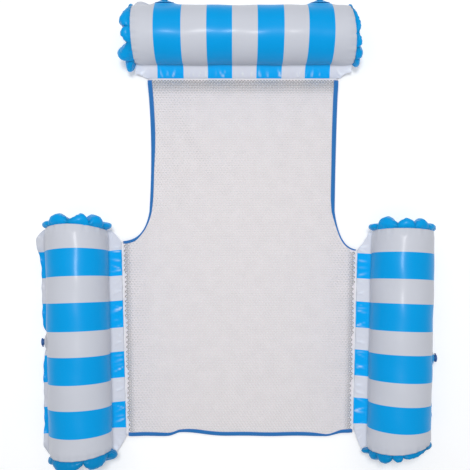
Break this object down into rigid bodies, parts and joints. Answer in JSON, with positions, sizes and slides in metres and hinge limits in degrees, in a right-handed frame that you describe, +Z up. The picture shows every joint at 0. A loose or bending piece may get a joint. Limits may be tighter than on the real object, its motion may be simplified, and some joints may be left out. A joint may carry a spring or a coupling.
{
  "type": "inflatable pool chair",
  "caption": "Inflatable pool chair lying flat: striped air-tube arms and headrest with gathered end panels, joined by a net seat and back with taped edges.",
  "frame": {"origin": "bottom centre of the chair's box, on the ground it lies on", "axes": "+Z up, +Y from the seat's front edge to the headrest, +X to the right arm as seen in the picture"},
  "size_m": [1.0024, 1.1958, 0.1581],
  "materials": {
    "white_net": "knitted polyester net, matte",
    "blue_tape": "woven binding tape with a slight sheen",
    "striped_film": "printed vinyl film with broad blue and white bands, glossy",
    "blue_film": "blue vinyl film, glossy",
    "valve_plastic": "soft moulded vinyl, satin"
  },
  "bodies": {
    "seat": {"seat_mesh": "white_net", "left_shoulder_binding": "blue_tape", "right_shoulder_binding": "blue_tape", "front_binding": "blue_tape"},
    "back": {"back_mesh": "white_net", "left_back_binding": "blue_tape", "right_back_binding": "blue_tape"},
    "headrest": {"headrest_upper_skin": "striped_film", "headrest_lower_skin": "striped_film", "headrest_left_end_panel": "blue_film", "headrest_right_end_panel": "blue_film", "headrest_divider": "blue_film", "headrest_left_valve_base": "valve_plastic", "headrest_right_valve_base": "valve_plastic"},
    "left_arm": {"left_arm_upper_skin": "striped_film", "left_arm_lower_skin": "striped_film", "left_arm_rear_end_panel": "blue_film", "left_arm_front_end_panel": "blue_film", "left_arm_valve_base": "valve_plastic"},
    "right_arm": {"right_arm_upper_skin": "striped_film", "right_arm_lower_skin": "striped_film", "right_arm_rear_end_panel": "blue_film", "right_arm_front_end_panel": "blue_film", "right_arm_valve_base": "valve_plastic"},
    "left_arm_valve_stem": {"left_arm_valve_stem": "valve_plastic"},
    "left_arm_valve_cap": {"left_arm_valve_cap": "valve_plastic"},
    "left_arm_valve_flap": {"left_arm_valve_flap": "valve_plastic"},
    "right_arm_valve_stem": {"right_arm_valve_stem": "valve_plastic"},
    "right_arm_valve_cap": {"right_arm_valve_cap": "valve_plastic"},
    "right_arm_valve_flap": {"right_arm_valve_flap": "valve_plastic"},
    "headrest_left_valve_stem": {"headrest_left_valve_stem": "valve_plastic"},
    "headrest_left_valve_cap": {"headrest_left_valve_cap": "valve_plastic"},
    "headrest_left_valve_flap": {"headrest_left_valve_flap": "valve_plastic"},
    "headrest_right_valve_stem": {"headrest_right_valve_stem": "valve_plastic"},
    "headrest_right_valve_cap": {"headrest_right_valve_cap": "valve_plastic"},
    "headrest_right_valve_flap": {"headrest_right_valve_flap": "valve_plastic"}
  },
  "joints": [
    {"name": "back_recline", "type": "hinge", "parent": "seat", "child": "back", "pos_m": [0, 0.05562, 0.0032], "axis": [1, 0, 0], "range_deg": [0, 80]},
    {"name": "headrest_fold", "type": "hinge", "parent": "back", "child": "headrest", "pos_m": [0.00672, 0.41402, 0.0032], "axis": [1, 0, 0], "range_deg": [0, 80]},
    {"name": "left_arm_fold", "type": "hinge", "parent": "seat", "child": "left_arm", "pos_m": [-0.30378, -0.27838, 0.0032], "axis": [-0.0332, 0.9995, 0], "range_deg": [0, 90]},
    {"name": "right_arm_fold", "type": "hinge", "parent": "seat", "child": "right_arm", "pos_m": [0.30422, -0.27538, 0.0032], "axis": [-0.0332, -0.9995, 0], "range_deg": [0, 90]},
    {"name": "left_arm_valve_push", "type": "slide", "parent": "left_arm", "child": "left_arm_valve_stem", "axis": [0.9956, 0.033, -0.0872], "range_m": [0, 0.007]},
    {"name": "left_arm_cap_hinge", "type": "hinge", "parent": "left_arm_valve_stem", "child": "left_arm_valve_cap", "pos_m": [-0.49574, -0.29675, 0.08528], "axis": [0.0871, 0.0029, 0.9962], "range_deg": [0, 150]},
    {"name": "left_arm_flap_hinge", "type": "hinge", "parent": "left_arm_valve_stem", "child": "left_arm_valve_flap", "pos_m": [-0.47631, -0.2786, 0.08353], "axis": [0.0871, 0.0029, 0.9962], "range_deg": [0, 50], "stiffness_Nm_per_rad": 0.0005},
    {"name": "right_arm_valve_push", "type": "slide", "parent": "right_arm", "child": "right_arm_valve_stem", "axis": [-0.9988, 0.0331, 0.0349], "range_m": [0, 0.007]},
    {"name": "right_arm_cap_hinge", "type": "hinge", "parent": "right_arm_valve_stem", "child": "right_arm_valve_cap", "pos_m": [0.49576, -0.31475, 0.07439], "axis": [0.0349, -0.0012, 0.9994], "range_deg": [0, 150]},
    {"name": "right_arm_flap_hinge", "type": "hinge", "parent": "right_arm_valve_stem", "child": "right_arm_valve_flap", "pos_m": [0.4751, -0.33157, 0.07509], "axis": [0.0349, -0.0012, 0.9994], "range_deg": [0, 50], "stiffness_Nm_per_rad": 0.0005},
    {"name": "headrest_left_valve_push", "type": "slide", "parent": "headrest", "child": "headrest_left_valve_stem", "axis": [0, -0.9903, -0.1392], "range_m": [0, 0.007]},
    {"name": "headrest_left_cap_hinge", "type": "hinge", "parent": "headrest_left_valve_stem", "child": "headrest_left_valve_cap", "pos_m": [-0.20528, 0.59445, 0.08993], "axis": [0, -0.1392, 0.9903], "range_deg": [0, 150]},
    {"name": "headrest_left_flap_hinge", "type": "hinge", "parent": "headrest_left_valve_stem", "child": "headrest_left_valve_flap", "pos_m": [-0.18778, 0.57455, 0.08713], "axis": [0, -0.1392, 0.9903], "range_deg": [0, 50], "stiffness_Nm_per_rad": 0.0005},
    {"name": "headrest_right_valve_push", "type": "slide", "parent": "headrest", "child": "headrest_right_valve_stem", "axis": [0, -0.9903, -0.1392], "range_m": [0, 0.007]},
    {"name": "headrest_right_cap_hinge", "type": "hinge", "parent": "headrest_right_valve_stem", "child": "headrest_right_valve_cap", "pos_m": [0.19472, 0.59445, 0.08993], "axis": [0, -0.1392, 0.9903], "range_deg": [0, 150]},
    {"name": "headrest_right_flap_hinge", "type": "hinge", "parent": "headrest_right_valve_stem", "child": "headrest_right_valve_flap", "pos_m": [0.21222, 0.57455, 0.08713], "axis": [0, -0.1392, 0.9903], "range_deg": [0, 50], "stiffness_Nm_per_rad": 0.0005}
  ]
}
